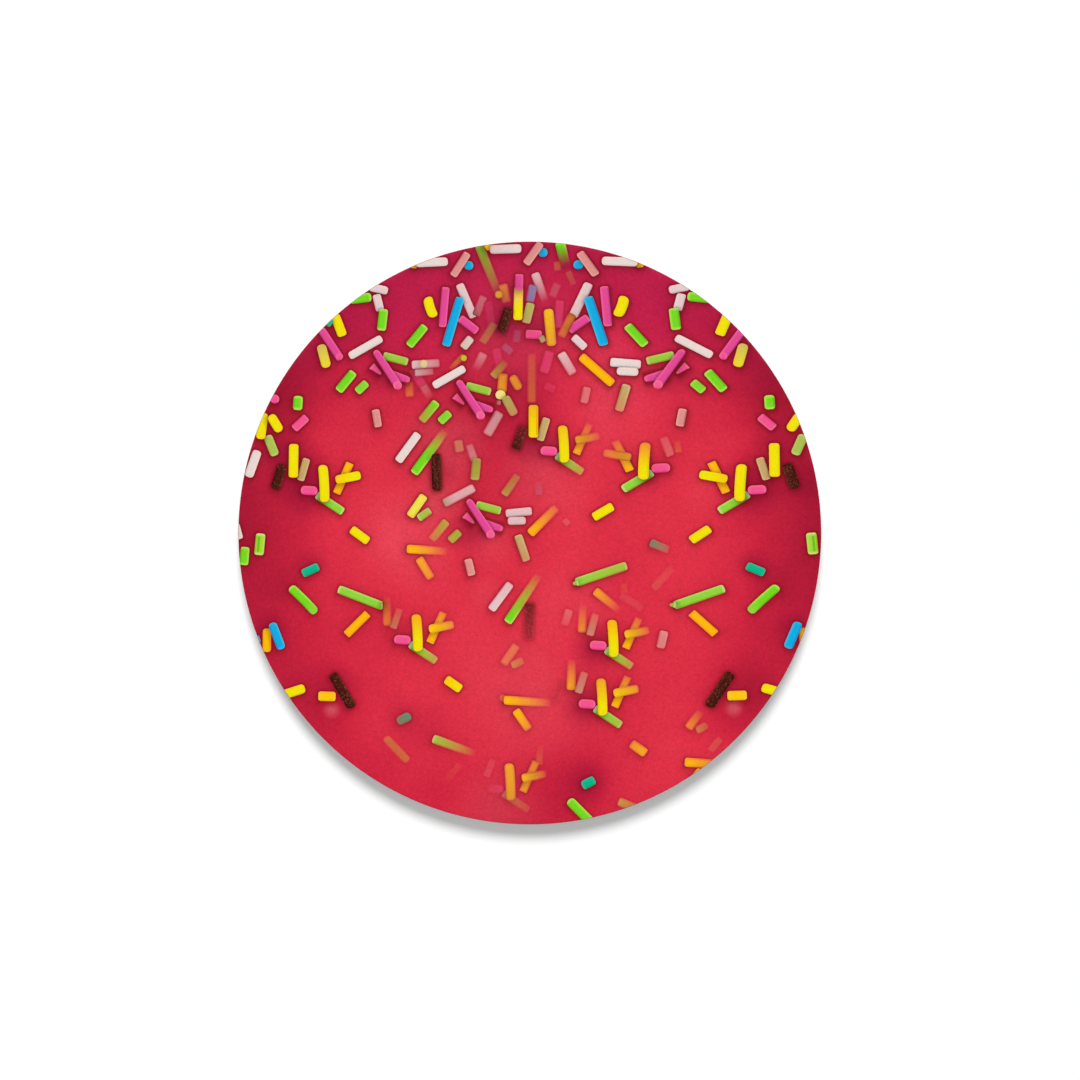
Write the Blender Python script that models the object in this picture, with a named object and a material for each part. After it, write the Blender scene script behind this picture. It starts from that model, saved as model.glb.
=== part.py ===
"""Round drinks coaster: a stiff printed sheet on a hardboard disc, on a smaller disc of cork.

Units are metres and +Z is up. The origin is on the surface that the coaster stands on, under the
middle of the disc, and +Y points to the top of the printed picture.
"""

import math
from dataclasses import dataclass

import bmesh
import bpy

# Driving dimensions
FACE_DIAMETER = 0.100
SHEET_THICKNESS = 0.0003
BOARD_THICKNESS = 0.0025
CORK_THICKNESS = 0.0010
GLUE_LINE = 0.0003

# The cork is cut smaller than the board, so that it stays out of sight from above
CORK_INSET = 0.0018

# Heights above the surface that the coaster stands on
BOARD_BOTTOM = CORK_THICKNESS + GLUE_LINE
BOARD_TOP = BOARD_BOTTOM + BOARD_THICKNESS
SHEET_BOTTOM = BOARD_TOP + GLUE_LINE

# Facets
SIDES = 160
ROUND_SEGMENTS = 3
SMOOTH_ANGLE = math.radians(30)

COLLECTION_NAME = "round_coaster"


@dataclass(frozen=True)
class Layer:
    """One flat disc of the coaster.

    Args:
        name: The object's name.
        diameter: How wide the disc is.
        bottom: Height of its lower face.
        thickness: How thick it is.
        lower_round: Rounding radius of its lower rim.
        upper_round: Rounding radius of its upper rim.
        colour: Its material's colour.
        roughness: Its material's roughness.
    """

    name: str
    diameter: float
    bottom: float
    thickness: float
    lower_round: float
    upper_round: float
    colour: tuple[float, float, float]
    roughness: float


CORK = Layer(
    name="cork_backing",
    diameter=FACE_DIAMETER - 2 * CORK_INSET,
    bottom=0.0,
    thickness=CORK_THICKNESS,
    lower_round=0.0001,
    upper_round=0.0001,
    colour=(0.42, 0.26, 0.13),
    roughness=0.9,
)
BOARD = Layer(
    name="board",
    diameter=FACE_DIAMETER,
    bottom=BOARD_BOTTOM,
    thickness=BOARD_THICKNESS,
    lower_round=0.0002,
    upper_round=0.0001,
    colour=(0.80, 0.79, 0.77),
    roughness=0.5,
)
SHEET = Layer(
    name="print_sheet",
    diameter=FACE_DIAMETER,
    bottom=SHEET_BOTTOM,
    thickness=SHEET_THICKNESS,
    lower_round=0.00005,
    upper_round=0.0002,
    colour=(0.60, 0.03, 0.07),
    roughness=0.4,
)


def clear_objects() -> None:
    """Remove every object of the open scene."""
    for found in list(bpy.data.objects):
        bpy.data.objects.remove(found, do_unlink=True)


def make_material(layer: Layer) -> bpy.types.Material:
    """Return a plain non-metal material in the layer's colour."""
    material = bpy.data.materials.new(layer.name)
    material.use_nodes = True
    shader = material.node_tree.nodes["Principled BSDF"]
    shader.inputs["Base Color"].default_value = (*layer.colour, 1.0)
    shader.inputs["Roughness"].default_value = layer.roughness
    shader.inputs["Metallic"].default_value = 0.0
    return material


def round_rim(mesh: bmesh.types.BMesh, height: float, radius: float) -> None:
    """Round the circle of edges that lies at this height."""
    tolerance = 1e-6
    rim = [
        edge
        for edge in mesh.edges
        if all(abs(vertex.co.z - height) < tolerance for vertex in edge.verts)
    ]
    bmesh.ops.bevel(
        mesh,
        geom=rim,
        offset=radius,
        segments=ROUND_SEGMENTS,
        profile=0.5,
        affect="EDGES",
        material=-1,
    )


def make_disc(layer: Layer) -> bpy.types.Object:
    """Return the layer's disc, whose own origin is in the middle of its lower face."""
    mesh = bmesh.new()
    bmesh.ops.create_cone(
        mesh,
        cap_ends=True,
        cap_tris=False,
        segments=SIDES,
        radius1=layer.diameter / 2,
        radius2=layer.diameter / 2,
        depth=layer.thickness,
    )
    bmesh.ops.translate(mesh, verts=mesh.verts, vec=(0.0, 0.0, layer.thickness / 2))
    round_rim(mesh, 0.0, layer.lower_round)
    round_rim(mesh, layer.thickness, layer.upper_round)
    data = bpy.data.meshes.new(layer.name)
    mesh.to_mesh(data)
    mesh.free()
    data.shade_smooth()
    data.set_sharp_from_angle(angle=SMOOTH_ANGLE)
    data.materials.append(make_material(layer))
    disc = bpy.data.objects.new(layer.name, data)
    disc.location = (0.0, 0.0, layer.bottom)
    return disc


def main() -> None:
    """Build the coaster's layers, from the cork up, in a collection of their own."""
    clear_objects()
    coaster = bpy.data.collections.new(COLLECTION_NAME)
    bpy.context.scene.collection.children.link(coaster)
    for layer in (CORK, BOARD, SHEET):
        coaster.objects.link(make_disc(layer))


main()
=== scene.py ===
"""Dress the round coaster: its printed picture of frosting and sprinkles, its white board and its cork.

Lengths are metres unless a name or a docstring says picture units. The picture is laid out in picture
units, 583 across the face, from the middle of the disc, with y towards the top of the picture.
"""

from __future__ import annotations

import logging
import math
from collections.abc import Iterable, Sequence
from dataclasses import dataclass, replace
from enum import Enum

import bmesh
import bpy
import numpy as np
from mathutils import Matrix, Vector, noise

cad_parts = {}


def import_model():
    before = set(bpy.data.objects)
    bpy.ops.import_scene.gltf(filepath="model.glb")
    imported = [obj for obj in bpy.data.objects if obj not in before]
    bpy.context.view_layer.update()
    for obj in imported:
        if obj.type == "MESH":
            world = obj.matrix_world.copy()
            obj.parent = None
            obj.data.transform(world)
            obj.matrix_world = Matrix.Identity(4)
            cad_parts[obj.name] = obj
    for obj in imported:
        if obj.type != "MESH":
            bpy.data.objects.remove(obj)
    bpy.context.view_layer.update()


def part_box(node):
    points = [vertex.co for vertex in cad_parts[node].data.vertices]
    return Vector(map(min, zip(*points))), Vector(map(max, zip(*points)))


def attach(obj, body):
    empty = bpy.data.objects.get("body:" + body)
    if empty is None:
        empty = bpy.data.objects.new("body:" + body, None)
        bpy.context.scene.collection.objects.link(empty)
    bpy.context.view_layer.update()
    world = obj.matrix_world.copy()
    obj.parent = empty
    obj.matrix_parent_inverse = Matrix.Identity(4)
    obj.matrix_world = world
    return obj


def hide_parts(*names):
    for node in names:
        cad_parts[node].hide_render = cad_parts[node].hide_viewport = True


LOG = logging.getLogger("coaster")

Colour = tuple[float, float, float]
Point = tuple[float, float]
Pair = tuple[float, float]

BODY = "root"

PICTURE_UNITS = 583.0
MILLIMETRE = 0.001
MERGE_DISTANCE = 1e-7
SAME_HEIGHT = 1e-6

# How bright a white surface facing up shows under the studio light, and the palest pigment
STUDIO_GAIN = 1.15
PALEST = 0.97

# The print of a strand that doesn't fade
WHOLE: Pair = (1.0, 1.0)

# The clear film over the print
FILM_ROUGHNESS = 0.22
FILM_GLOSS = 0.25

# How far the sheet's face lies below its node's, so that the layers of ink stay inside the box
INK_ROOM = 0.04 * MILLIMETRE


def linear(channel: float) -> float:
    """Return the linear value of an sRGB channel that runs from 0 to 255."""
    share = channel / 255.0
    if share <= 0.04045:
        return share / 12.92
    return ((share + 0.055) / 1.055) ** 2.4


def seen(red: float, green: float, blue: float) -> Colour:
    """Return the pigment that shows as this sRGB colour on the upward face.

    Args:
        red: Red, from 0 to 255.
        green: Green, from 0 to 255.
        blue: Blue, from 0 to 255.

    Returns:
        The linear base colour.
    """
    return tuple(min(PALEST, linear(channel) / STUDIO_GAIN) for channel in (red, green, blue))


class Value:
    """A number in a shader, which Python's operators turn into Math nodes."""

    def __init__(self, tree: ShaderTree, socket: bpy.types.NodeSocket) -> None:
        """Wrap an output socket of the tree."""
        self.tree = tree
        self.socket = socket

    def maths(self, operation: str, *operands: Value | float, clamp: bool = False) -> Value:
        """Return the result of a Math node on these operands."""
        settings = {"operation": operation, "use_clamp": clamp}
        made = self.tree.node("ShaderNodeMath", settings, dict(enumerate(operands)))
        return Value(self.tree, made.outputs[0])

    def __add__(self, other: Value | float) -> Value:
        """Add."""
        return self.maths("ADD", self, other)

    def __radd__(self, other: float) -> Value:
        """Add, with the number first."""
        return self.maths("ADD", other, self)

    def __sub__(self, other: Value | float) -> Value:
        """Subtract."""
        return self.maths("SUBTRACT", self, other)

    def __rsub__(self, other: float) -> Value:
        """Subtract from a number."""
        return self.maths("SUBTRACT", other, self)

    def __mul__(self, other: Value | float) -> Value:
        """Multiply."""
        return self.maths("MULTIPLY", self, other)

    def __rmul__(self, other: float) -> Value:
        """Multiply, with the number first."""
        return self.maths("MULTIPLY", other, self)

    def clamped(self) -> Value:
        """Return the value held between 0 and 1."""
        return self.maths("ADD", self, 0.0, clamp=True)

    def least(self, other: Value | float) -> Value:
        """Return the lesser of two values."""
        return self.maths("MINIMUM", self, other)

    def eased(self, low: float, high: float, start: float = 0.0, end: float = 1.0) -> Value:
        """Return a smooth step from start at low to end at high."""
        made = self.tree.node(
            "ShaderNodeMapRange",
            {"interpolation_type": "SMOOTHSTEP", "clamp": True},
            {"Value": self, "From Min": low, "From Max": high, "To Min": start, "To Max": end},
        )
        return Value(self.tree, made.outputs["Result"])


class ShaderTree:
    """The nodes of one material, ending in a Principled shader."""

    def __init__(self, name: str) -> None:
        """Start a material with nothing but its Principled shader and its output."""
        self.material = bpy.data.materials.new(name)
        self.material.use_nodes = True
        self.nodes = self.material.node_tree.nodes
        self.links = self.material.node_tree.links
        self.shader = self.nodes["Principled BSDF"]

    def feed(self, socket: bpy.types.NodeSocket, value: object) -> None:
        """Link a socket to another, or set it to a constant."""
        if isinstance(value, Value):
            value = value.socket
        if isinstance(value, bpy.types.NodeSocket):
            self.links.new(value, socket)
        elif socket.type == "RGBA" and len(value) == 3:
            socket.default_value = (*value, 1.0)
        else:
            socket.default_value = value

    def node(
        self, kind: str, settings: dict[str, object], inputs: dict[object, object]
    ) -> bpy.types.Node:
        """Return a new node.

        Args:
            kind: Blender's name for the type of node.
            settings: The node's own settings. For a ramp, stops holds its (place, colour) pairs.
            inputs: What its input sockets take, by name or by number.

        Returns:
            The node.
        """
        made = self.nodes.new(kind)
        for name, setting in settings.items():
            if name == "stops":
                self.set_stops(made.color_ramp, setting)
            else:
                setattr(made, name, setting)
        for name, value in inputs.items():
            self.feed(made.inputs[name], value)
        return made

    @staticmethod
    def set_stops(ramp: bpy.types.ColorRamp, stops: Sequence[tuple[float, Colour]]) -> None:
        """Give a colour ramp these stops."""
        while len(ramp.elements) < len(stops):
            ramp.elements.new(1.0)
        for element, (place, colour) in zip(ramp.elements, stops):
            element.position = place
            element.color = (*colour, 1.0)

    def place(self) -> bpy.types.NodeSocket:
        """Return the place on the object, in metres."""
        return self.node("ShaderNodeTexCoord", {}, {}).outputs["Object"]

    def attribute(self, name: str) -> bpy.types.Node:
        """Return the node that reads one of the mesh's own attributes."""
        return self.node("ShaderNodeAttribute", {"attribute_name": name}, {})

    def number(self, name: str) -> Value:
        """Return the number that the mesh holds under this name."""
        return Value(self, self.attribute(name).outputs["Fac"])

    def axes(self, vector: bpy.types.NodeSocket) -> tuple[Value, Value, Value]:
        """Return a vector's three numbers."""
        made = self.node("ShaderNodeSeparateXYZ", {}, {0: vector})
        return tuple(Value(self, output) for output in made.outputs)

    def grain(self, place: bpy.types.NodeSocket, size: float, detail: float = 2.0) -> Value:
        """Return noise from 0 to 1 whose blotches are about this many metres across."""
        inputs = {"Vector": place, "Scale": 1.0 / size, "Detail": detail}
        return Value(self, self.node("ShaderNodeTexNoise", {}, inputs).outputs[0])

    def ramp(self, value: Value, stops: Sequence[tuple[float, Colour]]) -> bpy.types.NodeSocket:
        """Return the colour that a ramp gives for the value."""
        return self.node("ShaderNodeValToRGB", {"stops": stops}, {"Fac": value}).outputs["Color"]

    def mixed(self, share: Value | float, first: object, second: object) -> bpy.types.NodeSocket:
        """Return the first colour at share 0, the second at share 1."""
        made = self.node("ShaderNodeMix", {"data_type": "RGBA"}, {0: share, 6: first, 7: second})
        return made.outputs[2]

    def vector(self, operation: str, first: object, second: object) -> bpy.types.Node:
        """Return the Vector Math node for two vectors."""
        return self.node("ShaderNodeVectorMath", {"operation": operation}, {0: first, 1: second})

    def scaled(self, vector: object, factor: Value | float) -> bpy.types.NodeSocket:
        """Return a colour made lighter or darker, or a vector made longer, by a factor."""
        inputs = {0: vector, "Scale": factor}
        return self.node("ShaderNodeVectorMath", {"operation": "SCALE"}, inputs).outputs[0]

    def bump(self, height: Value, strength: float, distance: float) -> None:
        """Give the shader a relief in its normal only."""
        inputs = {"Height": height, "Strength": strength, "Distance": distance}
        relief = self.node("ShaderNodeBump", {}, inputs)
        self.feed(self.shader.inputs["Normal"], relief.outputs["Normal"])

    def finish(self, **sockets: object) -> bpy.types.Material:
        """Set the shader's sockets, with _ for a space in their names, and return the material."""
        for name, value in sockets.items():
            self.feed(self.shader.inputs[name.replace("_", " ")], value)
        return self.material


class Ink(Enum):
    """The colour families of the printed sugar strands."""

    YELLOW = "yellow"
    GOLD = "gold"
    ORANGE = "orange"
    LIME = "lime"
    LEAF = "leaf"
    WHITE = "white"
    PINK = "pink"
    MAGENTA = "magenta"
    BLUE = "blue"
    TEAL = "teal"
    CHOCOLATE = "chocolate"
    TAN = "tan"
    ROSE = "rose"
    IVORY = "ivory"


@dataclass(frozen=True)
class InkFinish:
    """How the strands of one ink are shaded in the picture.

    Args:
        core: Colour along the middle.
        lit: Colour of the edge that faces the picture's light.
        shaded: Colour of the other edge.
        end: Colour of the two ends.
        speckle: How strongly the colour varies from spot to spot.
        crumbs: How much of it pale crumbs cover, from 0 to 1.
        crumb: Colour of the crumbs.
        lit_band: Where across the strand the lit edge begins and is full.
        shaded_band: Where across it, on the other side, the shaded edge begins and is full.
        end_band: Where the ends' colour begins and is full, in half widths from the end.
        crumb_band: How high the grain is where a crumb begins and is full.
        spot_size: Size of the spots.
        crumb_size: Size of the spots where the ink has crumbs.
    """

    core: Colour
    lit: Colour
    shaded: Colour
    end: Colour
    speckle: float = 0.10
    crumbs: float = 0.0
    crumb: Colour = seen(150, 100, 72)
    lit_band: Pair = (0.30, 0.95)
    shaded_band: Pair = (0.45, 1.0)
    end_band: Pair = (0.75, 0.15)
    crumb_band: Pair = (0.54, 0.72)
    spot_size: float = 0.45 * MILLIMETRE
    crumb_size: float = 0.28 * MILLIMETRE

    def colour(self, tree: ShaderTree) -> bpy.types.NodeSocket:
        """Return the strand's own colour, from its lay attribute and a fine grain."""
        tail, across, head = tree.axes(tree.attribute("lay").outputs["Vector"])
        body = tree.mixed(across.eased(*self.lit_band), self.core, self.lit)
        body = tree.mixed((0.0 - across).eased(*self.shaded_band), body, self.shaded)
        body = tree.mixed(tail.least(head).eased(*self.end_band), body, self.end)
        body = tree.mixed(tree.number("tinted"), body, tree.attribute("tint").outputs["Vector"])
        spots = tree.grain(tree.place(), self.crumb_size if self.crumbs else self.spot_size)
        if self.crumbs:
            body = tree.mixed(spots.eased(*self.crumb_band, 0.0, self.crumbs), body, self.crumb)
        return tree.scaled(body, 1.0 + (spots - 0.5) * (2.0 * self.speckle))


def ink_finish(*colours: Colour, speckle: float = 0.10, crumbs: float = 0.0) -> InkFinish:
    """Return an ink's finish.

    Args:
        colours: How its core, its lit edge, its shaded edge and its ends show, as sRGB from 0 to 255.
        speckle: How strongly the colour varies from spot to spot.
        crumbs: How much of it pale crumbs cover, from 0 to 1.

    Returns:
        The finish, in pigments.
    """
    return InkFinish(*(seen(*colour) for colour in colours), speckle=speckle, crumbs=crumbs)


INK_FINISHES: dict[Ink, InkFinish] = {
    Ink.YELLOW: ink_finish((244, 230, 0), (255, 212, 26), (226, 208, 0), (254, 212, 30)),
    Ink.GOLD: ink_finish((255, 204, 0), (255, 178, 40), (242, 182, 10), (252, 196, 45)),
    Ink.ORANGE: ink_finish((255, 188, 0), (255, 150, 32), (246, 164, 8), (252, 168, 38)),
    Ink.LIME: ink_finish((118, 218, 28), (166, 230, 74), (92, 192, 20), (176, 226, 84)),
    Ink.LEAF: ink_finish((146, 214, 60), (172, 224, 94), (118, 182, 36), (200, 222, 126)),
    Ink.WHITE: ink_finish((230, 206, 206), (246, 212, 208), (208, 178, 184), (244, 198, 196)),
    Ink.PINK: ink_finish((246, 84, 144), (252, 102, 140), (226, 58, 122), (250, 100, 148)),
    Ink.MAGENTA: ink_finish((229, 74, 148), (246, 92, 158), (188, 54, 124), (248, 94, 146)),
    Ink.BLUE: ink_finish((14, 172, 226), (40, 192, 236), (14, 138, 196), (40, 182, 224)),
    Ink.TEAL: ink_finish((0, 184, 138), (44, 190, 152), (8, 150, 112), (46, 182, 142)),
    Ink.CHOCOLATE: ink_finish(
        (72, 20, 10), (92, 36, 22), (48, 8, 4), (70, 20, 12), speckle=0.40, crumbs=0.36
    ),
    Ink.TAN: ink_finish((198, 168, 104), (222, 180, 130), (168, 140, 84), (220, 172, 130)),
    Ink.ROSE: ink_finish((222, 146, 140), (240, 160, 150), (196, 112, 112), (238, 152, 146)),
    Ink.IVORY: ink_finish((234, 219, 213), (248, 216, 208), (216, 198, 194), (242, 206, 200)),
}


@dataclass(frozen=True)
class Blotch:
    """A round soft field of the icing, in picture units.

    Args:
        x: Place to the right of the middle.
        y: Place above the middle.
        reach: Distance at which it has faded out.
        change: What it adds to the tone, below 0 where it darkens.
    """

    x: float
    y: float
    reach: float
    change: float


def both_sides(x: float, y: float, reach: float, left: float, right: float) -> tuple[Blotch, Blotch]:
    """Return two like blotches, left and right of the middle, and what each of them adds."""
    return Blotch(-x, y, reach, left), Blotch(x, y, reach, right)


@dataclass(frozen=True)
class IcingFinish:
    """The printed frosting: a red that is deeper towards the rim and paler in the middle.

    Args:
        stops: The reds from the deepest tone to the palest, at their tones.
        shadow: Colour of the strands' soft shadows.
        haze: Colour of the pale spots.
        berry: Colour of the berry spots.
        plum: Colour of the plum spots.
        level: The tone where no blotch changes it.
        blotches: What makes the tone paler or deeper.
        berry_spots: Where the icing turns to berry, and how far.
        plum_spots: Where it turns to plum.
        pale_spots: Where it turns to haze.
        cloud_size: Size of its soft clouds.
        cloud_depth: How much they change the tone.
        fine_size: Size of its finest grain.
        fine_depth: How strongly that lightens and darkens it.
        coarse_size: Size of its coarser grain.
        coarse_depth: How strongly that lightens and darkens it.
    """

    stops: tuple[tuple[float, Colour], ...] = (
        (0.0, seen(112, 4, 32)),
        (0.3, seen(164, 17, 49)),
        (0.6, seen(206, 33, 61)),
        (0.8, seen(226, 48, 70)),
        (1.0, seen(236, 68, 87)),
    )
    shadow: Colour = seen(108, 0, 8)
    haze: Colour = seen(222, 92, 104)
    berry: Colour = seen(188, 20, 91)
    plum: Colour = seen(140, 2, 54)
    level: float = 0.62
    blotches: tuple[Blotch, ...] = (
        Blotch(0, 0, 600, 0.10),
        *both_sides(310, 20, 130, -0.36, -0.34),
        *both_sides(170, 300, 190, -0.30, -0.30),
        *both_sides(255, 155, 88, -0.40, -0.40),
        Blotch(0, 300, 120, -0.20),
        Blotch(-18, 212, 45, -0.30),
        Blotch(-20, 120, 110, -0.22),
        Blotch(75, 130, 120, 0.20),
        Blotch(-150, 20, 110, 0.12),
        Blotch(-118, -15, 80, 0.17),
        Blotch(-25, -8, 50, 0.05),
        Blotch(-40, -130, 150, 0.15),
        Blotch(40, 20, 60, 0.14),
        Blotch(150, 0, 90, 0.08),
        Blotch(140, -105, 110, 0.08),
        Blotch(62, -150, 50, -0.06),
        Blotch(150, -225, 90, 0.15),
        Blotch(-190, -235, 80, -0.10),
        Blotch(0, -325, 100, -0.14),
        Blotch(40, -250, 60, -0.16),
        *both_sides(280, -100, 110, -0.24, -0.24),
        Blotch(-215, -168, 60, -0.18),
        Blotch(212, -165, 60, -0.26),
        *both_sides(225, 55, 45, -0.20, -0.16),
        Blotch(-15, 0, 60, 0.02),
        Blotch(45, -60, 70, 0.12),
        Blotch(85, 190, 40, 0.10),
        Blotch(0, 150, 40, -0.10),
        *both_sides(243, -50, 35, -0.12, -0.12),
        Blotch(-150, -210, 70, 0.06),
        Blotch(180, 60, 60, 0.12),
        Blotch(275, 60, 45, -0.16),
    )
    berry_spots: tuple[Blotch, ...] = (
        Blotch(0, 320, 260, 0.36),
        *both_sides(150, 220, 140, 0.24, 0.24),
    )
    plum_spots: tuple[Blotch, ...] = (
        Blotch(66, -114, 32, 0.60),
        Blotch(56, -172, 32, 0.55),
        Blotch(-129, -104, 24, 0.30),
        *both_sides(222, 42, 40, 0.50, 0.45),
        Blotch(-220, -33, 24, 0.40),
        Blotch(224, -32, 24, 0.40),
        Blotch(58, -250, 30, 0.50),
        Blotch(-190, -152, 30, 0.25),
        Blotch(-258, -94, 24, 0.40),
        Blotch(262, -94, 24, 0.40),
        Blotch(-105, -196, 40, 0.20),
        Blotch(-130, -182, 26, 0.25),
        Blotch(80, -50, 30, 0.08),
        Blotch(2, 90, 30, 0.50),
        Blotch(28, 86, 22, 0.30),
        Blotch(-88, 60, 24, 0.30),
        Blotch(-60, 2, 30, 0.50),
        Blotch(122, 62, 26, 0.35),
        Blotch(-243, 78, 40, 0.55),
        Blotch(246, 86, 34, 0.30),
        Blotch(-182, 208, 34, 0.28),
        Blotch(184, 208, 34, 0.24),
        Blotch(-212, 182, 34, 0.34),
        Blotch(214, 182, 34, 0.24),
        Blotch(62, 212, 26, 0.34),
        Blotch(-62, 210, 24, 0.24),
        Blotch(-26, 212, 26, 0.45),
        Blotch(8, 208, 24, 0.30),
        Blotch(-146, 158, 26, 0.34),
        Blotch(144, 160, 28, 0.34),
    )
    pale_spots: tuple[Blotch, ...] = (
        Blotch(10, 60, 60, 0.22),
        Blotch(0, -170, 90, 0.16),
        Blotch(-45, -62, 26, 0.16),
        Blotch(-15, 200, 90, 0.14),
        Blotch(-30, -276, 60, 0.20),
        Blotch(-85, 86, 62, 0.28),
        Blotch(-92, 30, 34, 0.30),
        Blotch(-40, -10, 34, 0.16),
        Blotch(-198, -177, 11, 0.70),
        Blotch(204, -175, 12, 0.72),
    )
    cloud_size: float = 9.0 * MILLIMETRE
    cloud_depth: float = 0.16
    fine_size: float = 0.30 * MILLIMETRE
    fine_depth: float = 0.55
    coarse_size: float = 0.75 * MILLIMETRE
    coarse_depth: float = 0.22

    @staticmethod
    def field(tree: ShaderTree, place: bpy.types.NodeSocket, blotches: Iterable[Blotch]) -> Value | float:
        """Return the sum of these blotches at a place, in picture units."""
        total: Value | float = 0.0
        for blotch in blotches:
            centre = (blotch.x, blotch.y, 0.0)
            away = Value(tree, tree.vector("DISTANCE", place, centre).outputs["Value"])
            total = away.eased(0.0, blotch.reach, blotch.change, 0.0) + total
        return total

    def colour(self, tree: ShaderTree, unit: float) -> bpy.types.NodeSocket:
        """Return the icing's colour with the shade attribute's dark red laid over it.

        Args:
            tree: The material's nodes.
            unit: One picture unit in metres.

        Returns:
            The colour.
        """
        place = tree.place()
        flat = tree.vector("MULTIPLY", place, (1 / unit, 1 / unit, 0)).outputs[0]
        clouds = tree.grain(place, self.cloud_size)
        tone = self.field(tree, flat, self.blotches) + self.level + (clouds - 0.5) * self.cloud_depth
        body = tree.ramp(tone.clamped(), self.stops)
        washes = (
            (self.haze, self.pale_spots),
            (self.berry, self.berry_spots),
            (self.plum, self.plum_spots),
        )
        for colour, spots in washes:
            body = tree.mixed(self.field(tree, flat, spots), body, colour)
        fine = tree.grain(place, self.fine_size, 3.0)
        coarse = tree.grain(place, self.coarse_size)
        grained = 1.0 + (fine - 0.5) * self.fine_depth + (coarse - 0.5) * self.coarse_depth
        return tree.mixed(tree.number("shade"), tree.scaled(body, grained), self.shadow)


@dataclass(frozen=True)
class Strand:
    """One printed sugar strand, in picture units.

    Args:
        ink: Its colour family.
        tail: Middle of one end.
        head: Middle of the other end.
        width: How wide it is.
        bow: How far its middle strays to the left of the line from tail to head.
        show: How strongly its tail and its head are printed. Between them this is held from 0 to 1.
        corner: Rounding of its corners, as a part of its half width.
        throw: How strongly it shades what is round it, from 0 to 1.
        taper: How wide its tail is, as a part of its width.
        second: An ink whose colour it turns to.
        turned: How far its tail and its head have turned to it. Between them this is held from 0 to 1.
    """

    ink: Ink
    tail: Point
    head: Point
    width: float = 9.0
    bow: float = 0.0
    show: Pair = WHOLE
    corner: float = 0.5
    throw: float = 1.0
    taper: float = 1.0
    second: Ink | None = None
    turned: Pair = (0.0, 0.0)

    def faded(self, tail: float, head: float | None = None) -> Strand:
        """Return the strand printed this strongly at its tail and its head."""
        return replace(self, show=(tail, tail if head is None else head))

    def turning(self, ink: Ink, tail: float, head: float) -> Strand:
        """Return the strand with its tail and its head turned this far to another ink."""
        return replace(self, second=ink, turned=(tail, head))


@dataclass(frozen=True)
class Placement:
    """Where a group of strands goes, in picture units.

    Args:
        x: Shift to the right.
        y: Shift upwards.
        stretch: Widening along x.
        mirrored: True where left and right are exchanged.
    """

    x: float = 0.0
    y: float = 0.0
    stretch: float = 1.0
    mirrored: bool = False

    @property
    def sides(self) -> np.ndarray:
        """Return what the group's x and y are multiplied by."""
        return np.array([-self.stretch if self.mirrored else self.stretch, 1.0])

    def applied(self, points: np.ndarray) -> np.ndarray:
        """Return points of the group as points of the picture."""
        return points * self.sides + np.array([self.x, self.y])

    def undone(self, points: np.ndarray) -> np.ndarray:
        """Return points of the picture as points of the group."""
        return (points - np.array([self.x, self.y])) / self.sides


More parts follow.
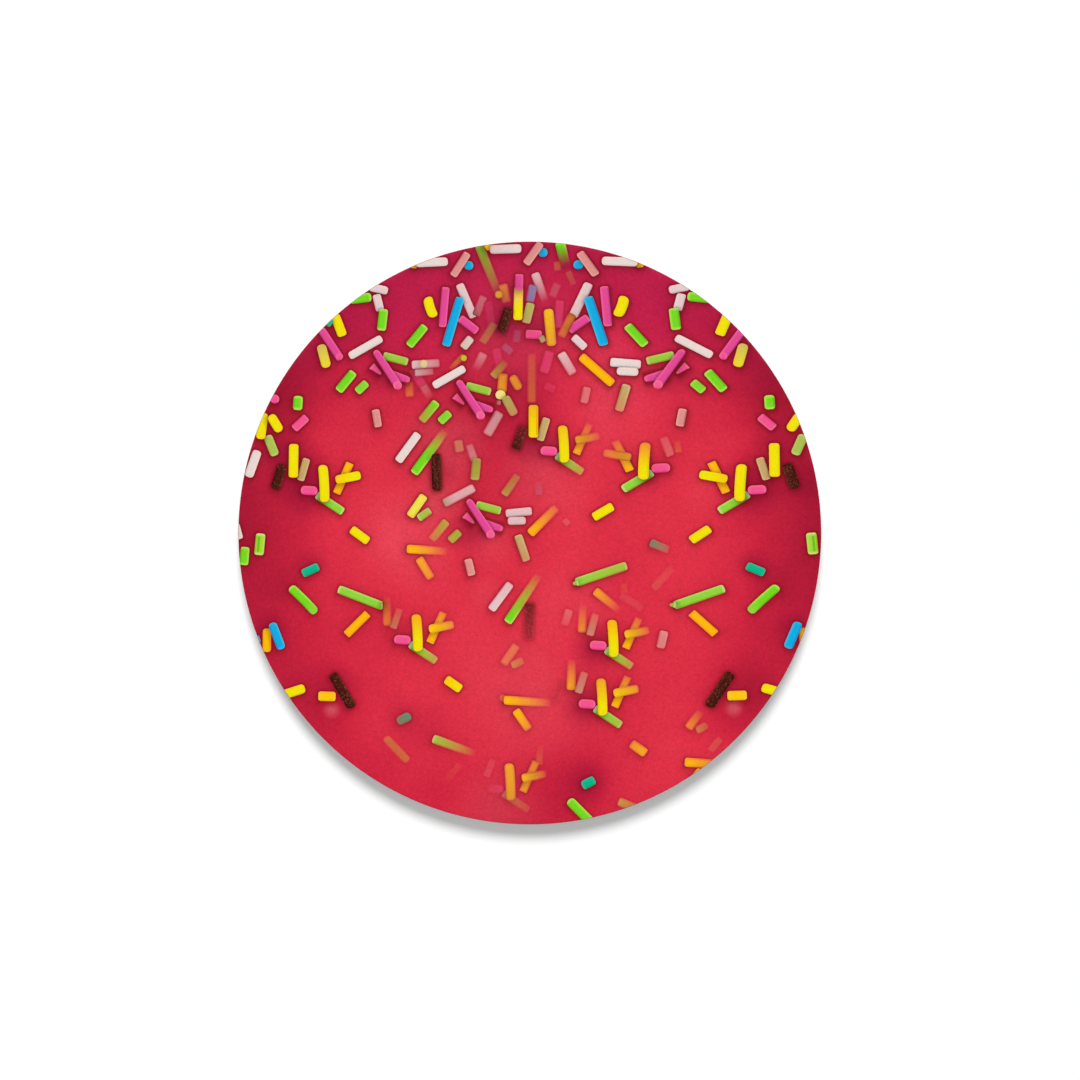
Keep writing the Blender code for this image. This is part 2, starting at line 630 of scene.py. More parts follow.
class PlacedStrand:
    """A strand where it lies in the picture."""

    # The picture's light comes from the upper right, and so from the upper left in a mirrored group.
    # It throws a strand's shadow this far, in picture units.
    LIGHT = np.array([0.80, 0.60])
    CAST = np.array([-1.6, -2.4])

    # How near two strands lie, in picture units, when they count as crossing, and how often that is tried
    TOUCH = 0.5
    TRIALS = 9

    def __init__(self, strand: Strand, placement: Placement) -> None:
        """Place a strand."""
        self.strand = strand
        self.placement = placement
        self.level = 0
        self.tail, self.head = placement.applied(np.array([strand.tail, strand.head], float))
        self.half_width = strand.width / 2
        self.cast = self.CAST * (np.array([-1.0, 1.0]) if placement.mirrored else 1.0)
        own_tail, own_head = np.array(strand.tail, float), np.array(strand.head, float)
        self.middle = (own_tail + own_head) / 2
        self.half_length = float(np.linalg.norm(own_head - own_tail)) / 2
        self.along = (own_head - own_tail) / (2 * self.half_length)
        self.across = np.array([-self.along[1], self.along[0]])

    def outline_point(self, run: float, side: float) -> tuple[np.ndarray, tuple[float, float, float]]:
        """Return a point of the strand and how it lies there.

        Args:
            run: From -1 at the tail to 1 at the head.
            side: From -1 to 1, across.

        Returns:
            The point in the picture, and its distances from the tail, across and from the head in half
            widths, with across turned so that the lit side is positive.
        """
        lengthwise = self.half_length * math.sin(run * math.pi / 2)
        corner = self.strand.corner * self.half_width
        to_end = self.half_length - abs(lengthwise)
        reach = self.half_width
        if to_end < corner:
            reach += math.sqrt(max(0.0, corner**2 - (corner - to_end) ** 2)) - corner
        sideways = side * reach * (1.0 + (self.strand.taper - 1.0) * (0.5 - 0.5 * run))
        bent = self.strand.bow * (1.0 - (lengthwise / self.half_length) ** 2)
        point = self.middle + self.along * lengthwise + self.across * (sideways + bent)
        lit = 1.0 if float(self.across @ self.LIGHT) >= 0.0 else -1.0
        lay = (
            (self.half_length + lengthwise) / self.half_width,
            lit * side,
            (self.half_length - lengthwise) / self.half_width,
        )
        return self.placement.applied(point), lay

    def share_at(self, points: np.ndarray, ends: Sequence[float]) -> np.ndarray:
        """Return what runs from one number at the tail to another at the head, held from 0 to 1."""
        lengthwise = (self.placement.undone(points) - self.middle) @ self.along
        share = np.clip(0.5 + 0.5 * lengthwise / self.half_length, 0.0, 1.0)
        return np.clip(ends[0] + share * (ends[1] - ends[0]), 0.0, 1.0)

    def gap_to(self, points: np.ndarray) -> np.ndarray:
        """Return how far points lie outside the strand's rounded outline."""
        own = self.placement.undone(points) - self.middle
        lengthwise = own @ self.along
        bent = self.strand.bow * (1.0 - np.clip(lengthwise / self.half_length, -1.0, 1.0) ** 2)
        corner = self.strand.corner * self.half_width
        past_end = np.maximum(np.abs(lengthwise) - (self.half_length - corner), 0.0)
        past_side = np.maximum(np.abs(own @ self.across - bent) - (self.half_width - corner), 0.0)
        return np.hypot(past_end, past_side) - corner

    def crosses(self, other: PlacedStrand) -> bool:
        """Return True if the two strands come within touch of each other."""
        steps = np.linspace(0.0, 1.0, self.TRIALS)[:, None]
        mine = self.tail + steps * (self.head - self.tail)
        return float(other.gap_to(mine).min()) < self.half_width + self.TOUCH


@dataclass(frozen=True)
class ContactShade:
    """The soft dark red that the picture shows round its strands.

    Args:
        rim_share: Depth of the narrow dark line round a strand.
        rim_reach: Its width in picture units.
        cast_share: Depth of the shadow thrown away from the light.
        cast_reach: Its softness in picture units.
        glow_share: Depth of the wide dimming round a strand.
        glow_reach: Its width in picture units.
        least_depth: The part of all this that is left in the lower half of the picture.
        full_height: Height in the picture from which the shade has its full depth.
        farthest: How far from a strand its shade is worked out, in glow reaches.
    """

    rim_share: float = 0.60
    rim_reach: float = 2.0
    cast_share: float = 0.26
    cast_reach: float = 2.8
    glow_share: float = 0.11
    glow_reach: float = 8.5
    least_depth: float = 0.74
    full_height: float = 90.0
    farthest: float = 3.0

    def at(self, points: np.ndarray, strands: Sequence[PlacedStrand]) -> np.ndarray:
        """Return the shade, from 0 to 1, that these strands throw on each point.

        Args:
            points: Points in picture units.
            strands: The strands that throw it.

        Returns:
            One number for each point.
        """
        clear = np.ones(len(points))
        margin = self.farthest * self.glow_reach
        for strand in strands:
            low = np.minimum(strand.tail, strand.head) - margin
            high = np.maximum(strand.tail, strand.head) + margin
            near = np.flatnonzero(((points > low) & (points < high)).all(axis=1))
            if not len(near):
                continue
            gap = strand.gap_to(points[near])
            cast_gap = strand.gap_to(points[near] - strand.cast)
            weight = strand.strand.throw * strand.share_at(points[near], strand.strand.show)
            weight *= self.depth(points[near][:, 1])
            clear[near] *= 1.0 - weight * self.rim_share * self.falloff(gap, self.rim_reach)
            clear[near] *= 1.0 - weight * self.cast_share * self.falloff(cast_gap, self.cast_reach)
            clear[near] *= 1.0 - weight * self.glow_share * self.falloff(gap, self.glow_reach)
        return 1.0 - clear

    def depth(self, heights: np.ndarray) -> np.ndarray:
        """Return how deep the shade is at these heights in the picture."""
        rise = np.clip(0.5 + 0.5 * heights / self.full_height, 0.0, 1.0)
        return self.least_depth + (1.0 - self.least_depth) * rise

    @staticmethod
    def falloff(gap: np.ndarray, reach: float) -> np.ndarray:
        """Return 1 at a strand's edge, fading to 0 over about this reach."""
        return np.exp(-((np.maximum(gap, 0.0) / reach) ** 2))


# The shadow that a strand throws on one that it lies on, which is narrower and deeper
SHADE_ON_STRANDS = ContactShade(rim_reach=1.3, cast_share=0.50, glow_share=0.0)


def dot(ink: Ink, x: float, y: float, size: float, show: float = 1.0, throw: float = 1.0) -> Strand:
    """Return a round end seen from above, by its middle and its size in picture units."""
    return Strand(ink, (x - size / 2, y), (x + size / 2, y), size, 0.0, (show, show), 1.0, throw)


def v_cluster(
    x: float,
    y: float,
    green: Pair = WHOLE,
    stalk: Pair = WHOLE,
    cross: Pair = WHOLE,
    pink: Pair = WHOLE,
    toasted: Pair = (0.0, 0.0),
    body: Pair = WHOLE,
    bright: Pair = (0.0, 0.0),
) -> tuple[Strand, ...]:
    """Return the cluster of five that the picture repeats, by the middle of its pink strand.

    Args:
        x: Place to the right of the middle, in picture units.
        y: Place above the middle, in picture units.
        green: How strongly the green strand's left and right ends are printed.
        stalk: How strongly the orange strand's upper and lower ends are printed.
        cross: How strongly the left and right ends of the strand that crosses it are printed.
        pink: How strongly the pink strand's left and right ends are printed.
        toasted: How far the yellow strand turns orange at its upper and lower ends.
        body: How strongly the yellow strand's upper and lower ends are printed.
        bright: How far the crossing strand turns yellow at its left and right ends.

    Returns:
        A green strand, a yellow one across its end, an orange one crossed by a short one, and a pink one.
    """
    leaf = Strand(Ink.LEAF, (x + 7.5, y - 4), (x + 34, y - 21.5), 8.2)
    yellow = Strand(Ink.YELLOW, (x + 13.5, y + 25.5), (x + 15.5, y - 11.5), 9.6, 0.6, corner=0.8)
    crossing = Strand(Ink.GOLD, (x + 26.5, y + 10.5), (x + 51.5, y + 15.5), 8.6, corner=0.7)
    return (
        leaf.faded(*green).turning(Ink.IVORY, 0.5, -3.5),
        Strand(Ink.ORANGE, (x + 41, y + 27.5), (x + 27.5, y - 3), 7.8, corner=0.2).faded(*stalk),
        crossing.faded(*cross).turning(Ink.YELLOW, *bright),
        yellow.faded(*body).turning(Ink.ORANGE, *toasted),
        Strand(Ink.PINK, (x - 8.3, y + 0.5), (x + 8.3, y - 0.5), 9.0, corner=0.9).faded(*pink),
    )


def y_cluster(x: float, y: float, first: Pair = WHOLE, second: float = 1.0) -> tuple[Strand, ...]:
    """Return the magenta cluster that the picture repeats, by the upper end of its long strand.

    Args:
        x: Place to the right of the middle, in picture units.
        y: Place above the middle, in picture units.
        first: How strongly the ends of the outer green strand are printed.
        second: How strongly the inner green strand is printed.

    Returns:
        A leaf green strand, two brighter green ones and the magenta ones that meet at a round end.
    """
    inner = Strand(Ink.LIME, (x - 8, y - 30.5), (x - 18, y - 40), 8.0)
    return (
        Strand(Ink.LEAF, (x + 8.5, y - 3.5), (x + 33, y - 10), 7.8).faded(0.9, 0.85),
        Strand(Ink.LIME, (x - 21, y - 20), (x - 36.5, y - 39), 8.6).faded(*first),
        inner.faded(second).turning(Ink.LEAF, 0.5, 0.5),
        Strand(Ink.PINK, (x + 6.2, y - 22.2), (x - 3.2, y - 13.8), 8.4, corner=0.25, taper=0.12),
        Strand(Ink.MAGENTA, (x + 35, y - 28), (x + 15.5, y - 23), 11.4, corner=0.5, taper=0.4),
        Strand(Ink.MAGENTA, (x, y + 1.5), (x + 23.5, y - 34), 8.8, corner=0.8, taper=0.74),
        dot(Ink.PINK, x + 22.8, y - 33.4, 8.6, 1.0, 0.0).turning(Ink.IVORY, 0.04, 0.04),
    )


# The left side of the picture. The right side is this side in a mirror, stretched by about an eighth.
LEFT_SIDE: tuple[Strand, ...] = (
    Strand(Ink.ORANGE, (-119, 267.5), (-113, 266.5), 4.5),
    Strand(Ink.IVORY, (-114, 270), (-82, 271.5), 8.6, corner=0.7),
    dot(Ink.BLUE, -61, 267.5, 8.8),
    Strand(Ink.ROSE, (-62, 280), (-77, 257), 7.6),
    Strand(Ink.WHITE, (-160, 246), (-142, 242), 8.0, corner=0.7),
    Strand(Ink.LIME, (-180, 233.5), (-158.5, 236), 9.0, corner=0.7),
    Strand(Ink.WHITE, (-153.5, 238.5), (-149.5, 222), 8.2),
    Strand(Ink.LIME, (-146, 224), (-148.5, 202.5), 8.8),
    Strand(Ink.YELLOW, (-195, 218), (-187, 197), 9.4),
    Strand(Ink.YELLOW, (-209, 188.5), (-203, 165.5), 9.4, corner=0.8).turning(Ink.TAN, 0.75, 0.1),
    Strand(Ink.MAGENTA, (-209, 204), (-189, 173.8), 7.8),
    dot(Ink.PINK, -190.6, 176.2, 7.0, 1.0, 0.0),
    Strand(Ink.IVORY, (-180.5, 176.5), (-148, 195), 7.8, corner=0.6),
    Strand(Ink.YELLOW, (-102, 236), (-95.5, 216), 9.6, -1.2, corner=0.8),
    Strand(Ink.LIME, (-104.5, 207), (-121, 187), 8.2),
    Strand(Ink.WHITE, (-70.5, 249), (-56, 215.5), 8.2).faded(0.95, 0.85),
    Strand(Ink.MAGENTA, (-84, 246), (-87.5, 206), 7.8),
    Strand(Ink.MAGENTA, (-70, 215), (-52.5, 201.5), 8.2),
    Strand(Ink.BLUE, (-69.5, 235.5), (-84, 187), 8.6),
    dot(Ink.PINK, -255, 134, 9.0),
    Strand(Ink.LIME, (-231.5, 137), (-232.3, 123), 9.2, corner=0.6),
    Strand(Ink.PINK, (-223, 116), (-236, 104), 8.4),
    Strand(Ink.LEAF, (-262.5, 97.5), (-254.5, 77.5), 8.8, corner=0.7).turning(Ink.TAN, 0.5, 0.4),
    Strand(Ink.YELLOW, (-266, 120), (-269.5, 94), 9.4, corner=0.7),
    Strand(Ink.YELLOW, (-259.5, 118), (-249.5, 101.5), 9.2, corner=0.9),
    Strand(Ink.CHOCOLATE, (-247, 68.5), (-255, 43.5), 9.8, corner=0.8),
    Strand(Ink.TAN, (-223, 74.5), (-229.5, 52.5), 7.4),
    Strand(Ink.YELLOW, (-236, 89), (-236.5, 55.5), 9.4),
    Strand(Ink.ROSE, (-154.5, 123.5), (-151.5, 106), 7.6),
    Strand(Ink.YELLOW, (-178.5, 4), (-161.5, -8.5), 8.6),
    Strand(Ink.LEAF, (-269, -0.5), (-271, -22), 9.4).turning(Ink.YELLOW, 0.15, 0.15),
    Strand(Ink.LIME, (-270.4, -3), (-271.8, -19.5), 2.4, throw=0.0).turning(Ink.CHOCOLATE, 0.22, 0.22),
    Strand(Ink.LIME, (-284.5, -14), (-286, -32), 8.6),
    Strand(Ink.TEAL, (-227.3, -40.8), (-211.4, -33.4), 8.2),
    Strand(Ink.LIME, (-239.5, -54), (-213.8, -79.8), 8.6, 0.5, corner=0.8).turning(Ink.LEAF, -2.4, 1.2),
    Strand(Ink.LEAF, (-191.5, -56), (-146.5, -73.5), 8.4),
    Strand(Ink.LEAF, (-142.5, -72.5), (-148, -73), 6.4, taper=0.3).faded(0.45, 1.0),
    Strand(Ink.ORANGE, (-162, -80.5), (-183.5, -101.8), 8.0, corner=0.2),
    Strand(Ink.ORANGE, (-262.8, -95.5), (-263, -119), 8.4, corner=0.7),
    Strand(Ink.BLUE, (-258, -90), (-248, -116), 8.6, corner=0.8),
    Strand(Ink.BLUE, (-274, -103), (-271.5, -110), 6.0).faded(0.8),
    Strand(Ink.YELLOW, (-247, -162), (-225, -155), 9.2, corner=0.7),
    Strand(Ink.GOLD, (-211.5, -163), (-194.2, -163.6), 9.4),
    Strand(Ink.CHOCOLATE, (-197.5, -140.5), (-177.3, -174.8), 9.8, corner=0.7),
)

SIDE_STRETCH = 1.119
RIGHT_SIDE = Placement(x=-19.7, y=0.8, stretch=SIDE_STRETCH, mirrored=True)

# What the left side shows and the right side does not
LEFT_ONLY: tuple[Strand, ...] = (
    Strand(Ink.IVORY, (-272, 82.5), (-281.5, 56), 9.0, corner=0.7),
    Strand(Ink.WHITE, (-294, 9), (-290, -6), 7.0),
    Strand(Ink.TEAL, (-204, 213), (-198, 209), 8.0),
    Strand(Ink.ORANGE, (-143, -62), (-142.5, -93), 9.0, corner=0.8).faded(0.0, 0.38),
    Strand(Ink.TAN, (-130, -75.5), (-137, -95.5), 7.6).faded(0.15, 0.42),
)

# What the picture shows between its two sides, from its top down
MIDDLE: tuple[Strand, ...] = (
    Strand(Ink.LIME, (-51, 288), (-32, 241), 9.0).faded(0.85, 0.05).turning(Ink.CHOCOLATE, 0.35, 0.3),
    Strand(Ink.ORANGE, (-43, 290), (-39, 284), 8.0),
    Strand(Ink.IVORY, (-40, 283.5), (-8.5, 284.5), 8.8, corner=0.7).faded(0.8, 1.0),
    dot(Ink.BLUE, 13.2, 280.5, 9.0),
    Strand(Ink.ROSE, (11, 290), (-4, 269), 8.0),
    Strand(Ink.LIME, (30, 291), (37, 262), 10.0).faded(1.2, 0.15).turning(Ink.CHOCOLATE, -0.1, 1.3),
    Strand(Ink.LEAF, (38, 262), (44, 248), 7.0).faded(0.10, 0.05),
    Strand(Ink.ORANGE, (27, 272), (28, 262), 8.0).faded(0.14),
    Strand(Ink.WHITE, (5, 260), (16, 230), 8.5).faded(0.8, -0.05),
    Strand(Ink.BLUE, (3.5, 248), (0, 231), 8.6).faded(0.5, 0.35),
    Strand(Ink.TAN, (1, 230), (-4, 210), 8.6).faded(0.85).turning(Ink.LEAF, 0.5, 0.1),
    Strand(Ink.WHITE, (28, 250), (22, 236), 9.0).faded(0.08),
    Strand(Ink.PINK, (30, 233), (28, 205), 9.0).faded(0.28),
    Strand(Ink.GOLD, (18.5, 224), (22, 187), 9.8, corner=0.7).faded(0.88, 0.6),
    Strand(Ink.ORANGE, (43, 219), (31, 196), 9.0).faded(0.32, 0.24),
    Strand(Ink.WHITE, (43.5, 196.5), (55.5, 185), 7.8),
    Strand(Ink.PINK, (-4, 199), (12, 198), 9.0).faded(0.75, 0.9),
    Strand(Ink.IVORY, (11, 197), (14, 191), 6.0).faded(0.5).turning(Ink.LEAF, 0.6, 0.6),
    Strand(Ink.WHITE, (-58.5, 195.5), (-67, 185), 8.0).faded(0.9).turning(Ink.LEAF, 0.0, 0.25),
    Strand(Ink.WHITE, (-46, 237), (-54, 217), 8.5).faded(0.2, 0.14),
    Strand(Ink.PINK, (-42, 232), (-38, 205), 9.0).faded(0.12),
    Strand(Ink.LEAF, (-35, 210), (-48, 190), 9.0).faded(0.16),
    Strand(Ink.ORANGE, (-27, 249), (-23, 230), 9.5).faded(0.42, 0.15),
    dot(Ink.YELLOW, -31, 238.5, 8.0, 0.45),
    Strand(Ink.YELLOW, (-11, 247), (-12, 213), 9.0).turning(Ink.PINK, 0.55, -0.35),
    Strand(Ink.MAGENTA, (-10.5, 259), (-11, 243), 8.4).faded(0.92, 0.85),
    Strand(Ink.CHOCOLATE, (-21, 225), (-29, 201), 9.2),
    Strand(Ink.BLUE, (-12, 203), (-14, 190), 8.0).faded(0.08),
    Strand(Ink.BLUE, (-27, 188), (-18, 180), 8.0).faded(0.12),
    Strand(Ink.ORANGE, (-121, 152), (-120, 136), 9.0).faded(0.1, 0.28),
    Strand(Ink.PINK, (-118, 164), (-106, 146), 9.0).faded(0.3),
    Strand(Ink.WHITE, (-107, 148), (-99, 134), 9.0).faded(0.2, 0.0),
    Strand(Ink.WHITE, (-118, 168), (-90, 170), 8.4).faded(0.85, 0.3),
    Strand(Ink.WHITE, (-115, 160), (-96, 161.5), 7.0).faded(0.6, 0.15),
    dot(Ink.IVORY, -106, 169.2, 8.0, 0.8, 0.3).turning(Ink.YELLOW, 0.45, 0.45),
    Strand(Ink.ORANGE, (-66, 178), (-80, 163), 6.0).faded(0.4, 0.05),
    Strand(Ink.YELLOW, (-69, 174.5), (-63, 175.5), 6.6, corner=1.0)
    .faded(0.7)
    .turning(Ink.LEAF, 0.4, 0.4),
    Strand(Ink.IVORY, (-96.5, 147), (-65, 165), 7.8, corner=0.6),
    Strand(Ink.WHITE, (-46, 180), (-57, 158), 9.5).faded(0.35, -0.1),
    Strand(Ink.PINK, (-34, 185), (-30, 165), 9.0).faded(0.22),
    Strand(Ink.LEAF, (-37, 156), (-24, 172), 8.8).faded(0.45, 0.05),
    Strand(Ink.ORANGE, (-26.5, 159.5), (-28, 141), 9.6).faded(0.48, 0.64),
    Strand(Ink.IVORY, (-34.3, 138), (-24.2, 138.4), 9.0, corner=1.0).turning(Ink.YELLOW, 0.55, 0.75),
    Strand(Ink.ORANGE, (-18, 157.5), (-10, 143.5), 8.8, corner=0.9).faded(0.52),
    Strand(Ink.LEAF, (-25, 136.5), (-15, 118), 8.8, corner=0.7)
    .faded(0.75, 0.7)
    .turning(Ink.TAN, 0.5, 1.1),
    Strand(Ink.ORANGE, (2, 180), (2, 130), 9.5).faded(0.08, 0.20),
    Strand(Ink.WHITE, (-30, 121), (-43, 98), 9.6).faded(0.42),
    Strand(Ink.WHITE, (-34, 131), (-29, 130), 5.0).faded(0.0, 0.4),
    Strand(Ink.CHOCOLATE, (-6, 107), (-14, 84), 9.6).faded(0.75, 1.0),
    Strand(Ink.IVORY, (-111.5, 99.5), (-132, 71.5), 8.2),
    Strand(Ink.LIME, (-82, 106), (-116, 59.5), 9.0).faded(-0.15, 1.8),
    Strand(Ink.TAN, (-72, 93), (-70, 81), 9.0).faded(0.38),
    Strand(Ink.WHITE, (-61, 89), (-55, 72), 8.0).faded(0.15, 0.35),
    Strand(Ink.PINK, (20, 182), (14, 160), 10.0).faded(0.32),
    Strand(Ink.PINK, (15, 148), (25, 143), 8.0).faded(0.15),
    Strand(Ink.WHITE, (31, 180), (43.5, 159), 9.0).faded(0.8, 0.4),
    Strand(Ink.ORANGE, (51, 177), (83, 149), 8.8),
    Strand(Ink.IVORY, (80.5, 171), (111, 168.5), 8.6),
    Strand(Ink.IVORY, (87, 162), (108.5, 161), 8.0, corner=0.8),
    Strand(Ink.ROSE, (57.5, 146), (54, 130), 8.0).faded(0.52),
    Strand(Ink.TAN, (97, 148.5), (89, 122), 8.8).faded(1.1, 0.66),
    Strand(Ink.TAN, (17, 115), (10, 92.5), 7.8),
    Strand(Ink.YELLOW, (3.7, 128), (3.7, 95.5), 9.6).faded(0.85, 1.1).turning(Ink.ORANGE, 0.85, 0.1),
    Strand(Ink.ORANGE, (7.4, 126), (7.4, 98), 2.2, throw=0.0).faded(0.9),
    Strand(Ink.ROSE, (133.5, 96), (141, 77), 9.0).faded(0.2, 0.4),
    Strand(Ink.ORANGE, (147, 95), (149, 80), 8.0).faded(0.0, 0.16),
    Strand(Ink.CHOCOLATE, (-94, 79.5), (-92.5, 42), 9.8, corner=0.8),
    Strand(Ink.YELLOW, (-105.5, 37.5), (-120, 16.5), 8.4).turning(Ink.IVORY, 0.12, 0.10),
    Strand(Ink.LEAF, (-99.5, 23), (-111.5, 14.5), 7.4).faded(0.7, 0.85),
    Strand(Ink.WHITE, (-86, 29.5), (-55.5, 45.5), 8.6).faded(0.6, 0.65).turning(Ink.TEAL, 0.8, -1.6),
    Strand(Ink.LEAF, (-53, 75), (-55, 53), 8.8).faded(0.58, 0.66).turning(Ink.CHOCOLATE, 0.25, 0.12),
    Strand(Ink.LEAF, (-12, 58), (-26, 38), 8.0).faded(0.28, 0.52).turning(Ink.CHOCOLATE, 0.45, 0.2),
    Strand(Ink.WHITE, (-24, 19.5), (2, 22), 8.0).faded(0.85),
    Strand(Ink.WHITE, (-22, 12), (-4, 12.5), 7.8, corner=0.7).faded(0.85),
    Strand(Ink.TAN, (-12, -2), (-3, -28), 8.0).faded(1.1, 0.75),
    Strand(Ink.BLUE, (9, 52), (9, 38), 8.0).faded(0.05, 0.2).turning(Ink.CHOCOLATE, 0.6, 0.4),
    Strand(Ink.ORANGE, (0, -1), (27, 26), 9.0).faded(1.0, 0.2),
    Strand(Ink.WHITE, (34, 14), (39, 8), 7.0).faded(0.09),
    Strand(Ink.YELLOW, (63.5, 15.5), (83, 27), 8.8),
    Strand(Ink.TEAL, (120.5, -9.5), (139, -17), 8.2).faded(0.82, 0.26).turning(Ink.CHOCOLATE, 0.42, 0.3),
    Strand(Ink.ORANGE, (-123, -15.8), (-80, -18.5), 8.6).faded(1.2, -0.06),
    Strand(Ink.ORANGE, (-111, -25), (-98.6, -45.4), 8.4).faded(0.8, 0.52),
    Strand(Ink.ROSE, (-62, -26), (-58, -42.5), 7.8),
    Strand(Ink.WHITE, (-19.2, -50.5), (-38.8, -77), 8.2).faded(0.78, 0.95),
    Strand(Ink.LIME, (-22.5, -89.5), (9.5, -41), 8.8).faded(1.15, 0.0),
    Strand(Ink.CHOCOLATE, (0, -70), (-1, -107), 10.2).faded(0.85, 0.5),
    Strand(Ink.LEAF, (46, -49.5), (97, -32.5), 8.6).faded(1.0, 0.75),
    Strand(Ink.LEAF, (43, -50.5), (48.5, -50), 6.4, taper=0.3).faded(0.6, 1.0),
    Strand(Ink.ORANGE, (65, -57.5), (91, -78.5), 8.8).faded(0.78, -0.04),
    Strand(Ink.ORANGE, (53.2, -68), (52.2, -99.5), 8.8).faded(-0.06, 0.54),
    Strand(Ink.ROSE, (39.5, -76.5), (34.5, -92.5), 8.6).faded(0.42, 0.16),
    Strand(Ink.TAN, (66, -80.5), (59.8, -102.5), 7.8).faded(0.24, 0.68).turning(Ink.ROSE, 0.4, 0.4),
    Strand(Ink.ROSE, (134.5, -98), (130.5, -115), 8.6).faded(0.85, 0.68),
    Strand(Ink.ORANGE, (94, -50), (95, -66), 8.0).faded(0.05),
    Strand(Ink.ROSE, (90, -62), (113, -76), 9.0).faded(0.08),
    Strand(Ink.TAN, (123, -56), (143, -34), 9.0).faded(0.12, 0.05),
    Strand(Ink.ORANGE, (-26.5, -131.5), (-13, -112), 9.0).faded(0.34).turning(Ink.ROSE, 0.35, 0.35),
    Strand(Ink.LEAF, (-18.5, -133), (-6, -127), 8.4, corner=0.8).faded(0.32, 0.12),
    Strand(Ink.YELLOW, (-84, -146), (-69, -156.5), 9.0).turning(Ink.GOLD, 1.0, 0.0),
    dot(Ink.ORANGE, -26.8, -165, 7.6, 0.25),
    Strand(Ink.ORANGE, (-26, -167), (21, -170), 8.8).faded(1.1, 0.05),
    Strand(Ink.ORANGE, (-14.2, -177), (-1, -196.5), 8.4).faded(1.1, 0.5),
    Strand(Ink.TEAL, (-132.5, -189), (-119.3, -182.3), 8.8, corner=0.8)
    .faded(0.65, 0.85)
    .turning(Ink.CHOCOLATE, 0.4, 0.32),
    Strand(Ink.LIME, (-145, -204), (-121.5, -228.5), 9.0, corner=0.9).faded(0.16),
    Strand(Ink.LEAF, (-97, -205.5), (-50, -222.5), 8.8).faded(0.82, -0.1),
    Strand(Ink.ORANGE, (-69.5, -230.5), (-84, -248), 8.6).faded(0.04, 0.02),
    Strand(Ink.ROSE, (-36.5, -226), (-44, -244), 7.6).faded(0.08, 0.14),
    Strand(Ink.ORANGE, (11, -212), (9, -232), 8.0).faded(0.0, 0.16),
    Strand(Ink.ORANGE, (42, -125.5), (41.3, -157), 9.0).faded(0.0, 0.78),
    Strand(Ink.TAN, (55, -139), (48.3, -160), 7.8).faded(0.38, 0.72).turning(Ink.ROSE, 0.5, 0.5),
    Strand(Ink.CHOCOLATE, (32, -148), (24, -168), 9.0).faded(0.2),
    Strand(Ink.ORANGE, (158.3, -195.5), (171.5, -177.5), 9.0).faded(0.52, 0.02),
    Strand(Ink.LEAF, (166.5, -198), (178, -191.5), 8.4, corner=0.8).faded(0.26, 0.08),
    Strand(Ink.TAN, (180, -218), (191, -205), 8.0).faded(0.12),
    Strand(Ink.ORANGE, (101.3, -210.2), (116, -220.5), 9.4).faded(0.56, 0.82),
    Strand(Ink.ORANGE, (155, -229), (184, -231), 9.0).faded(1.0, 0.45),
    Strand(Ink.ORANGE, (171.5, -237), (163, -247), 8.0).faded(0.9),
    Strand(Ink.TEAL, (52.5, -253), (64.8, -246.6), 9.0, corner=0.6),
    Strand(Ink.LIME, (39, -267), (62, -290), 9.2, corner=0.8),
    Strand(Ink.LEAF, (88.5, -268.3), (108, -276), 9.0, corner=0.6).faded(0.42, 0.2),
)


@dataclass(frozen=True)
class Group:
    """Strands and where they go."""

    strands: tuple[Strand, ...]
    placement: Placement = Placement()


GROUPS: tuple[Group, ...] = (
    Group(LEFT_SIDE),
    Group(LEFT_SIDE, RIGHT_SIDE),
    Group(LEFT_ONLY),
    Group(MIDDLE),
    Group(v_cluster(-220.7, 42.5, bright=(0.1, 1.5))),
    Group(v_cluster(-220.7, 42.5, bright=(0.1, 1.5)), RIGHT_SIDE),
    Group(v_cluster(19, 82, (1.1, 0.4), (0.1, 0.9), (0.64, 0.05), WHOLE, (0.5, -0.2), (0.86, 1.1))),
    Group(
        v_cluster(0, 0, WHOLE, (0.15, 1.1), (0.52, 0.22), (1.0, 0.85), (1.2, -0.3), (0.58, 1.3)),
        Placement(131, 65, SIDE_STRETCH, True),
    ),
    Group(
        v_cluster(-127.4, -106.8, (1.1, 0.5), (0.46, 1.1), (1.05, 0.38), WHOLE, (0.95, -0.4), (0.82, 1.1))
    ),
    Group(v_cluster(68.4, -112.4, (1.1, 0.4), (0.2, 1.1), (0.95, 0.12), WHOLE, (1.0, -0.4), (0.9, 1.1))),
    Group(v_cluster(57.3, -171, (1.1, 0.75), (0.32, 1.15), (1.0, 0.45), WHOLE, (1.0, -0.4), (0.74, 1.1))),
    Group(
        v_cluster(
            -34.5, -255.9, (0.22, 0.05), (0.42, 0.62), (0.82, 0.05), (0.05, 0.3), (0.7, 0.7), (0.64, 0.5)
        )
    ),
    Group(y_cluster(-155, 181)),
    Group(y_cluster(-155, 181), RIGHT_SIDE),
    Group(y_cluster(-72, 151, (1.0, 0.5))),
    Group(y_cluster(-62, 32, (0.5, 0.2), 0.6)),
)


